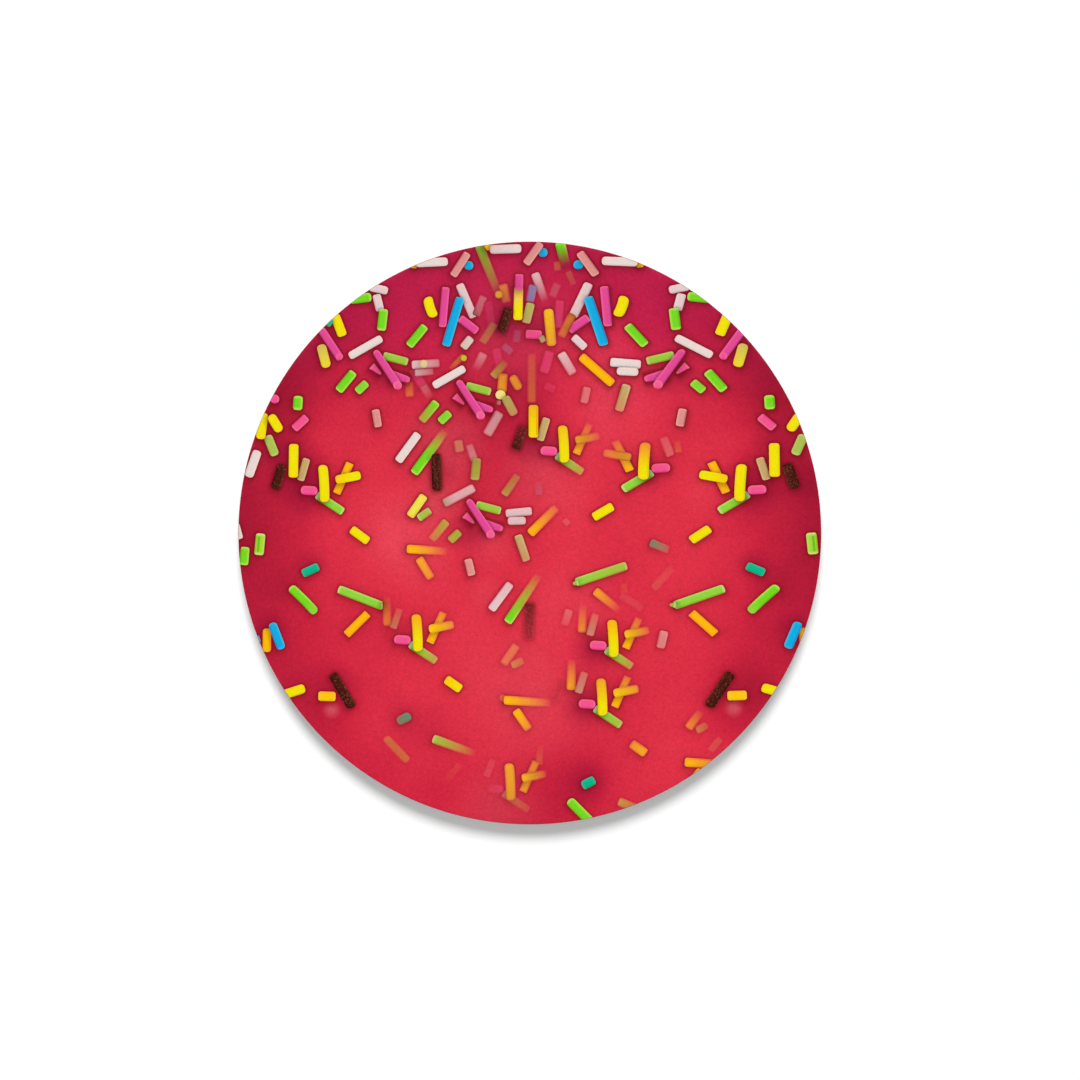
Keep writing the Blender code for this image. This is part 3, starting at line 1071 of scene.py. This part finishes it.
class Picture:
    """The printed picture's strands, with those that lie on others raised over them."""

    def __init__(self, groups: Iterable[Group], radius: float) -> None:
        """Place the groups and drop what falls outside the printed circle.

        Args:
            groups: The groups, from the lowest layer up.
            radius: The printed circle's radius in picture units.
        """
        self.radius = radius
        self.strands: list[PlacedStrand] = []
        for group in groups:
            for strand in group.strands:
                self.lay(PlacedStrand(strand, group.placement))

    def lay(self, placed: PlacedStrand) -> None:
        """Add a strand on top of those that it crosses."""
        nearest = min(float(np.linalg.norm(point)) for point in (placed.tail, placed.head))
        if nearest > self.radius + placed.half_width:
            return
        under = [other.level for other in self.strands if placed.crosses(other)]
        placed.level = max(under, default=0) + 1
        self.strands.append(placed)

    def of_ink(self, ink: Ink) -> list[PlacedStrand]:
        """Return the strands that are printed in one ink."""
        return [placed for placed in self.strands if placed.strand.ink is ink]

    def above(self, strand: PlacedStrand) -> list[PlacedStrand]:
        """Return the strands that lie on this one."""
        return [other for other in self.strands if other.level > strand.level and other.crosses(strand)]


def as_data(name: str, mesh: bmesh.types.BMesh) -> bpy.types.Mesh:
    """Return a finished mesh as Blender's own data, and free it."""
    data = bpy.data.meshes.new(name)
    mesh.to_mesh(data)
    mesh.free()
    return data


def linked(name: str, data: bpy.types.ID) -> bpy.types.Object:
    """Return a new object of this data, which stands in the scene."""
    made = bpy.data.objects.new(name, data)
    bpy.context.scene.collection.objects.link(made)
    return made


def new_piece(
    name: str, mesh: bmesh.types.BMesh, materials: Iterable[bpy.types.Material]
) -> bpy.types.Object:
    """Make an object of a finished mesh, in the frame's own place.

    Args:
        name: The piece's name.
        mesh: Its mesh, which is freed.
        materials: Its materials, in the order of its faces' numbers.

    Returns:
        The object, which rides on the coaster's body.
    """
    data = as_data(name, mesh)
    for material in materials:
        data.materials.append(material)
    piece = linked(name, data)
    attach(piece, BODY)
    LOG.info("%s: %d faces", name, len(data.polygons))
    return piece


def turned(profile: Sequence[Point], sides: int, cuts: dict[int, int]) -> bmesh.types.BMesh:
    """Turn an outline round the Z axis into a closed mesh.

    Args:
        profile: (radius, height) points, from the axis on top round to the axis below.
        sides: Faces in a full turn.
        cuts: For each stretch of the profile by number, how many points to add along it.

    Returns:
        The mesh.
    """
    mesh = bmesh.new()
    points = [mesh.verts.new((radius, 0.0, height)) for radius, height in profile]
    stretches = [mesh.edges.new(pair) for pair in zip(points, points[1:])]
    for number, count in cuts.items():
        bmesh.ops.subdivide_edges(mesh, edges=[stretches[number]], cuts=count)
    bmesh.ops.spin(
        mesh,
        geom=mesh.verts[:] + mesh.edges[:],
        cent=(0.0, 0.0, 0.0),
        axis=(0.0, 0.0, 1.0),
        dvec=(0.0, 0.0, 0.0),
        angle=math.tau,
        steps=sides,
        use_merge=True,
        use_duplicate=False,
    )
    bmesh.ops.remove_doubles(mesh, verts=mesh.verts, dist=MERGE_DISTANCE)
    bmesh.ops.recalc_face_normals(mesh, faces=mesh.faces)
    return mesh


def arc(centre: Point, radius: float, start: float, end: float, steps: int) -> list[Point]:
    """Return the points of an arc in a profile, from one angle to another in degrees."""
    turns = [math.radians(start + (end - start) * step / steps) for step in range(steps + 1)]
    return [(centre[0] + radius * math.cos(turn), centre[1] + radius * math.sin(turn)) for turn in turns]


@dataclass
class PrintSheet:
    """The stiff printed sheet: a picture of frosting on top, white where it turns down at the rim.

    Its faces are split fine_passes times, from fine_inset inside a strand's edge to fine_reach outside
    it, both in picture units.
    """

    radius: float
    bottom: float
    top: float
    picture: Picture
    unit: float
    rim_round: float = 0.08 * MILLIMETRE
    rim_steps: int = 6
    sides: int = 256
    rings: int = 50
    fine_passes: int = 2
    fine_reach: float = 5.0
    fine_inset: float = 2.0
    flat_limit: float = 0.999
    print_limit: float = 0.45
    # Depth of the painted shade off the flat face, where the sheet rounds over the rim and below it
    rim_shade: float = 0.20
    relief_size: float = 1.1 * MILLIMETRE
    relief_strength: float = 0.08
    relief_depth: float = 0.02 * MILLIMETRE

    def build(self) -> bpy.types.Object:
        """Make the sheet, dress it and let it stand for the node."""
        flat = self.radius - self.rim_round
        profile = [
            (0.0, self.top),
            *arc((flat, self.top - self.rim_round), self.rim_round, 90, 0, self.rim_steps),
            (self.radius, self.bottom),
            (0.0, self.bottom),
        ]
        mesh = turned(profile, self.sides, {0: self.rings})
        self.refine(mesh)
        for face in mesh.faces:
            face.material_index = self.finish_number(face)
            face.smooth = True
        self.shade(mesh)
        finishes = (self.icing(FILM_GLOSS), self.icing(0.0), self.white_edge())
        sheet = new_piece("printed_icing", mesh, finishes)
        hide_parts("print_sheet")
        return sheet

    def finish_number(self, face: bmesh.types.BMFace) -> int:
        """Return 0 on the flat picture, 1 where it rounds over the rim and 2 on the white below it."""
        if face.normal.z > self.flat_limit:
            return 0
        return 1 if face.normal.z > self.print_limit else 2

    def on_top(self, point: Vector) -> bool:
        """Return True for a place on the flat upper face."""
        return abs(point.z - self.top) < SAME_HEIGHT

    def flat_points(self, points: Iterable[Vector]) -> np.ndarray:
        """Return places in picture units."""
        return np.array([(point.x, point.y) for point in points]).reshape(-1, 2) / self.unit

    def refine(self, mesh: bmesh.types.BMesh) -> None:
        """Split the faces near the strands' edges, so that their soft shadows have room."""
        for step in range(self.fine_passes):
            reach = self.fine_reach * (self.fine_passes - step)
            edges = [edge for edge in mesh.edges if all(self.on_top(vertex.co) for vertex in edge.verts)]
            middles = self.flat_points((edge.verts[0].co + edge.verts[1].co) / 2 for edge in edges)
            closest = np.full(len(edges), np.inf)
            for strand in self.picture.strands:
                closest = np.minimum(closest, strand.gap_to(middles))
            chosen = [edge for edge, gap in zip(edges, closest) if -self.fine_inset < gap < reach]
            bmesh.ops.subdivide_edges(mesh, edges=chosen, cuts=1, use_grid_fill=True)

    def shade(self, mesh: bmesh.types.BMesh) -> None:
        """Store the strands' printed soft shadows on the mesh, and painted shade on the rounded rim."""
        layer = mesh.verts.layers.float.new("shade")
        points = self.flat_points(vertex.co for vertex in mesh.verts)
        values = ContactShade().at(points, self.picture.strands)
        for vertex, value in zip(mesh.verts, values):
            # Off the flat face the sheet is darkened by rim_shade: painted shade on the rounded rim
            painted_rim_shade = 0.0 if self.on_top(vertex.co) else self.rim_shade
            vertex[layer] = 1.0 - (1.0 - float(value)) * (1.0 - painted_rim_shade)

    def icing(self, gloss: float) -> bpy.types.Material:
        """Return the picture's ground under its film, which has no gloss where the rim rounds over."""
        tree = ShaderTree("printed_frosting")
        colour = IcingFinish().colour(tree, self.unit)
        relief = tree.grain(tree.place(), self.relief_size)
        tree.bump(relief, self.relief_strength, self.relief_depth)
        return tree.finish(Base_Color=colour, Roughness=FILM_ROUGHNESS, Specular_IOR_Level=gloss)

    @staticmethod
    def white_edge() -> bpy.types.Material:
        """Return the sheet's bare white stock, which shows as a hairline round the picture."""
        tree = ShaderTree("white_sheet_edge")
        fibres = tree.grain(tree.place(), 0.25 * MILLIMETRE)
        colour = tree.mixed(fibres, seen(236, 204, 206), seen(250, 226, 226))
        return tree.finish(Base_Color=colour, Roughness=0.5)


@dataclass
class PrintedStrands:
    """The picture's strands in one ink, each a thin layer of ink on the sheet.

    A strand that reaches the printed circle is cut straight every rim_step degrees of it. A point that
    lies within cut_merge of a cut, in picture units, counts as on it.
    """

    ink: Ink
    finish: InkFinish
    picture: Picture
    unit: float
    surface: float
    columns: int = 12
    rows: int = 4
    level_step: float = 0.003 * MILLIMETRE
    sunk: float = 0.004 * MILLIMETRE
    rim_step: float = 3.0
    cut_merge: float = 1e-4
    dimming: float = 0.75
    soft_edge: float = 0.5

    def build(self) -> bpy.types.Object:
        """Make and dress all of the ink's strands as one piece."""
        whole = bmesh.new()
        self.add_layers(whole)
        for placed in self.picture.of_ink(self.ink):
            data = as_data("strand", self.one_strand(placed))
            whole.from_mesh(data)
            bpy.data.meshes.remove(data)
        return new_piece(f"printed_{self.ink.value}_strands", whole, (self.material(),))

    @staticmethod
    def add_layers(mesh: bmesh.types.BMesh) -> None:
        """Give a mesh the attributes that the ink's material reads."""
        for name in ("shade", "dim", "show", "tinted"):
            mesh.verts.layers.float.new(name)
        for name in ("lay", "tint"):
            mesh.verts.layers.float_vector.new(name)

    def one_strand(self, placed: PlacedStrand) -> bmesh.types.BMesh:
        """Return one strand's thin layer of ink, cut off at the printed circle."""
        mesh = bmesh.new()
        self.add_layers(mesh)
        bmesh.ops.create_grid(mesh, x_segments=self.columns, y_segments=self.rows, size=1.0)
        lay = mesh.verts.layers.float_vector["lay"]
        for vertex in mesh.verts:
            point, place = placed.outline_point(vertex.co.x, vertex.co.y)
            vertex[lay] = place
            vertex.co = (point[0], point[1], 0.0)
        self.trim(mesh, placed)
        self.shade(mesh, placed)
        top = self.surface + placed.level * self.level_step
        bmesh.ops.scale(mesh, vec=(self.unit, self.unit, 1.0), verts=mesh.verts)
        bmesh.ops.translate(mesh, vec=(0.0, 0.0, top), verts=mesh.verts)
        below = bmesh.ops.extrude_face_region(mesh, geom=mesh.faces[:], use_keep_orig=True)
        sunk = [item for item in below["geom"] if isinstance(item, bmesh.types.BMVert)]
        bmesh.ops.translate(mesh, vec=(0.0, 0.0, self.surface - self.sunk - top), verts=sunk)
        bmesh.ops.recalc_face_normals(mesh, faces=mesh.faces)
        return mesh

    def trim(self, mesh: bmesh.types.BMesh, placed: PlacedStrand) -> None:
        """Cut the strand along the printed circle, by short straight cuts."""
        reach = max(vertex.co.length for vertex in mesh.verts)
        if reach < self.picture.radius:
            return
        middle = (placed.tail + placed.head) / 2
        facing = math.degrees(math.atan2(middle[1], middle[0]))
        half_turn = placed.half_length * placed.placement.stretch / self.picture.radius
        count = math.ceil((math.degrees(half_turn) + self.rim_step) / self.rim_step)
        for step in range(-count, count + 1):
            turn = math.radians(facing + step * self.rim_step)
            outward = Vector((math.cos(turn), math.sin(turn), 0.0))
            bmesh.ops.bisect_plane(
                mesh,
                geom=mesh.verts[:] + mesh.edges[:] + mesh.faces[:],
                dist=self.cut_merge,
                plane_co=outward * self.picture.radius,
                plane_no=outward,
                clear_outer=True,
            )

    def shade(self, mesh: bmesh.types.BMesh, placed: PlacedStrand) -> None:
        """Store how the strand fades, and the shadows under it and on it."""
        if not mesh.verts:
            return
        points = np.array([(vertex.co.x, vertex.co.y) for vertex in mesh.verts])
        strand = placed.strand
        others = [other for other in self.picture.strands if other is not placed]
        columns = {
            "show": placed.share_at(points, strand.show),
            "shade": ContactShade().at(points, others),
            "dim": SHADE_ON_STRANDS.at(points, self.picture.above(placed)),
            "tinted": placed.share_at(points, strand.turned),
        }
        for name, values in columns.items():
            layer = mesh.verts.layers.float[name]
            for vertex, value in zip(mesh.verts, values):
                vertex[layer] = float(value)
        if strand.second:
            tint = mesh.verts.layers.float_vector["tint"]
            for vertex in mesh.verts:
                vertex[tint] = INK_FINISHES[strand.second].core

    def material(self) -> bpy.types.Material:
        """Return the ink: its own shading, let into the icing where the picture fades."""
        tree = ShaderTree(f"{self.ink.value}_ink")
        own = tree.scaled(self.finish.colour(tree), 1.0 - self.dimming * tree.number("dim"))
        tail, across, head = tree.axes(tree.attribute("lay").outputs["Vector"])
        to_edge = (1.0 - across.maths("ABSOLUTE", across)).least(tail).least(head)
        inwards = to_edge.eased(0.0, self.soft_edge)
        show = tree.number("show")
        show = show * (1.0 - (1.0 - show) * (1.0 - inwards))
        colour = tree.mixed(show, IcingFinish().colour(tree, self.unit), own)
        return tree.finish(Base_Color=colour, Roughness=FILM_ROUGHNESS, Specular_IOR_Level=FILM_GLOSS)


@dataclass
class Board:
    """The white lacquered hardboard disc under the sheet."""

    radius: float
    bottom: float
    top: float
    rim_round: float = 0.2 * MILLIMETRE
    rim_steps: int = 4
    sides: int = 288
    flat_limit: float = 0.999
    bare_limit: float = 0.9
    fibre_flatness: float = 6.0

    def build(self) -> bpy.types.Object:
        """Make the board, dress it and let it stand for the node."""
        flat = self.radius - self.rim_round
        profile = [
            (0.0, self.top),
            *arc((flat, self.top - self.rim_round), self.rim_round, 90, 0, self.rim_steps),
            *arc((flat, self.bottom + self.rim_round), self.rim_round, 0, -90, self.rim_steps),
            (0.0, self.bottom),
        ]
        mesh = turned(profile, self.sides, {})
        for face in mesh.faces:
            face.material_index = 1 if face.normal.z < -self.bare_limit else 0
            face.smooth = abs(face.normal.z) < self.flat_limit
        board = new_piece("white_board", mesh, (self.lacquer(), self.underside()))
        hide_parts("board")
        return board

    def lacquer(self) -> bpy.types.Material:
        """Return the white lacquer of the cut edge, with the board's flat fibres faint under it."""
        tree = ShaderTree("white_lacquer")
        layers = tree.vector("MULTIPLY", tree.place(), (1.0, 1.0, self.fibre_flatness)).outputs[0]
        fibres = tree.grain(layers, 0.9 * MILLIMETRE, 4.0)
        colour = tree.mixed(fibres, (0.70, 0.68, 0.65), (0.86, 0.85, 0.83))
        tree.bump(fibres, 0.3, 0.05 * MILLIMETRE)
        return tree.finish(Base_Color=colour, Roughness=0.42 + 0.16 * fibres)

    @staticmethod
    def underside() -> bpy.types.Material:
        """Return the bare brown hardboard that shows round the cork."""
        tree = ShaderTree("bare_hardboard")
        fibres = tree.grain(tree.place(), 0.5 * MILLIMETRE, 5.0)
        colour = tree.ramp(fibres, ((0.3, (0.10, 0.05, 0.025)), (0.7, (0.24, 0.13, 0.07))))
        tree.bump(fibres, 0.5, 0.08 * MILLIMETRE)
        return tree.finish(Base_Color=colour, Roughness=0.8)


@dataclass
class CorkBacking:
    """The pressed cork disc that the coaster stands on."""

    radius: float
    bottom: float
    top: float
    worn_edge: float = 0.1 * MILLIMETRE
    sides: int = 360
    rings: int = 90
    pit_depth: float = 0.16 * MILLIMETRE
    pit_size: float = 1.3 * MILLIMETRE
    small_pit_share: float = 0.4
    pit_level: float = 0.1
    granules_per_metre: float = 480.0
    waves_per_metre: float = 700.0
    wave_height: float = 1.2 * MILLIMETRE

    def build(self) -> bpy.types.Object:
        """Make the cork, dress it and let it stand for the node."""
        profile = [
            (0.0, self.top),
            (self.radius - self.worn_edge, self.top),
            (self.radius, self.top - self.worn_edge),
            (self.radius, self.bottom + self.worn_edge),
            (self.radius - self.worn_edge, self.bottom),
            (0.0, self.bottom),
        ]
        mesh = turned(profile, self.sides, {2: 3, 4: self.rings})
        self.roughen(mesh)
        for face in mesh.faces:
            face.smooth = True
        cork = new_piece("cork_disc", mesh, (self.material(),))
        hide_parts("cork_backing")
        return cork

    def roughen(self, mesh: bmesh.types.BMesh) -> None:
        """Press the pits between the granules into the underside and the edge."""
        mesh.normal_update()
        for vertex in mesh.verts:
            if vertex.normal.z > 0.5:
                continue
            small = noise.noise(vertex.co / (self.small_pit_share * self.pit_size))
            pits = noise.noise(vertex.co / self.pit_size) + 0.5 * small
            vertex.co -= vertex.normal * self.pit_depth * max(0.0, pits - self.pit_level)

    def material(self) -> bpy.types.Material:
        """Return pressed cork: granules of several browns, dark specks, painted shade in the gaps."""
        tree = ShaderTree("pressed_cork")
        place = tree.place()
        waves = tree.node("ShaderNodeTexNoise", {}, {"Vector": place, "Scale": self.waves_per_metre})
        shift = tree.scaled(waves.outputs["Color"], self.wave_height)
        moved = tree.vector("ADD", place, shift).outputs[0]
        granules = {"Vector": moved, "Scale": self.granules_per_metre}
        cells = tree.node("ShaderNodeTexVoronoi", {}, granules)
        colour = tree.ramp(
            tree.axes(cells.outputs["Color"])[0],
            (
                (0.0, (0.16, 0.075, 0.035)),
                (0.25, (0.36, 0.20, 0.10)),
                (0.6, (0.50, 0.31, 0.16)),
                (1.0, (0.62, 0.42, 0.24)),
            ),
        )
        edges = tree.node("ShaderNodeTexVoronoi", {"feature": "DISTANCE_TO_EDGE"}, granules)
        gap = Value(tree, edges.outputs["Distance"]).eased(0.0, 0.10)
        specks = tree.grain(place, 0.5 * MILLIMETRE, 4.0)
        colour = tree.mixed(specks.eased(0.62, 0.72), colour, (0.07, 0.03, 0.015))
        # Painted shade: the colour darkens towards the gaps between the granules
        colour = tree.scaled(colour, 0.62 + 0.38 * gap)
        tree.bump(gap * 0.6 + specks * 0.4, 0.6, 0.12 * MILLIMETRE)
        return tree.finish(Base_Color=colour, Roughness=0.88)


@dataclass
class Studio:
    """A white floor, soft light from the top of the picture, and a camera straight above.

    Args:
        unit: One picture unit in metres.
        face_height: Height of the printed face.
        floor_side: Side of the square floor.
        floor_albedo: How much light the floor reflects.
        floor_glow: How much light it gives off.
        light_tilt: How far from upright the light comes, in degrees.
        light_turn: How far round it is turned, in degrees.
        light_width: How broad it looks from the coaster, in degrees.
        light_strength: Its strength.
        lens: The camera's focal length, in millimetres.
        sensor: Width of its sensor, in millimetres.
        frame_side: Side of the photograph, in picture units.
        off_centre: Middle of the photograph from the middle of the disc, in picture units.
    """

    unit: float
    face_height: float
    floor_side: float = 6.0
    floor_albedo: float = 0.68
    floor_glow: float = 0.25
    light_tilt: float = 33.0
    light_turn: float = 0.5
    light_width: float = 23.0
    light_strength: float = 3.14
    lens: float = 135.0
    sensor: float = 36.0
    frame_side: float = 1080.0
    off_centre: Point = (10.2, -7.0)

    def build(self) -> None:
        """Make the floor, the light, the surroundings and the camera."""
        self.floor()
        self.key_light()
        self.surroundings()
        self.camera()

    def floor(self) -> None:
        """Lay a white light table."""
        mesh = bmesh.new()
        bmesh.ops.create_grid(mesh, x_segments=1, y_segments=1, size=self.floor_side / 2)
        data = as_data("floor", mesh)
        tree = ShaderTree("light_table")
        table = tree.finish(
            Base_Color=(self.floor_albedo,) * 3,
            Roughness=1.0,
            Specular_IOR_Level=0.0,
            Emission_Color=(1.0, 1.0, 1.0),
            Emission_Strength=self.floor_glow,
        )
        data.materials.append(table)
        floor = linked("floor", data)

    def key_light(self) -> None:
        """Hang a broad light beyond the top of the picture."""
        light = bpy.data.lights.new("key_light", "SUN")
        light.energy = self.light_strength
        light.angle = math.radians(self.light_width)
        lamp = linked("key_light", light)
        lamp.rotation_euler = (math.radians(-self.light_tilt), 0.0, math.radians(self.light_turn))

    def surroundings(self) -> None:
        """Surround the coaster with pale light that is dimmer overhead, as under a dark ceiling."""
        world = bpy.data.worlds.new("studio")
        world.use_nodes = True
        nodes, links = world.node_tree.nodes, world.node_tree.links
        place = nodes.new("ShaderNodeTexCoord")
        split = nodes.new("ShaderNodeSeparateXYZ")
        ramp = nodes.new("ShaderNodeValToRGB")
        stops = ((0.0, (0.56, 0.56, 0.56)), (0.6, (0.42, 0.42, 0.42)), (0.95, (0.06, 0.06, 0.06)))
        ShaderTree.set_stops(ramp.color_ramp, stops)
        links.new(place.outputs["Generated"], split.inputs[0])
        links.new(split.outputs["Z"], ramp.inputs["Fac"])
        links.new(ramp.outputs["Color"], nodes["Background"].inputs["Color"])
        bpy.context.scene.world = world

    def camera(self) -> None:
        """Look straight down, with the disc where the photograph has it."""
        lens = bpy.data.cameras.new("camera")
        lens.lens = self.lens
        lens.sensor_width = self.sensor
        frame_width = self.frame_side * self.unit
        away = frame_width * self.lens / self.sensor
        camera = linked("camera", lens)
        right, up = (shift * self.unit for shift in self.off_centre)
        camera.location = (right, up, self.face_height + away)
        bpy.context.scene.camera = camera
        bpy.context.scene.view_settings.view_transform = "Standard"


def main() -> None:
    """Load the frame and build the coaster's pieces over it."""
    logging.basicConfig(level=logging.INFO, format="%(message)s")
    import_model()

    sheet_low, sheet_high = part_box("print_sheet")
    board_low, board_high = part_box("board")
    cork_low, cork_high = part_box("cork_backing")
    radius = sheet_high.x
    unit = 2 * radius / PICTURE_UNITS
    face = sheet_high.z - INK_ROOM

    picture = Picture(GROUPS, (radius - PrintSheet.rim_round) / unit)
    LOG.info("picture: %d strands", len(picture.strands))

    CorkBacking(cork_high.x, cork_low.z, board_low.z).build()
    Board(board_high.x, board_low.z, sheet_low.z).build()
    PrintSheet(radius, sheet_low.z, face, picture, unit).build()
    for ink, finish in INK_FINISHES.items():
        PrintedStrands(ink, finish, picture, unit, face).build()
    Studio(unit, sheet_high.z).build()


if __name__ == "__main__":
    main()
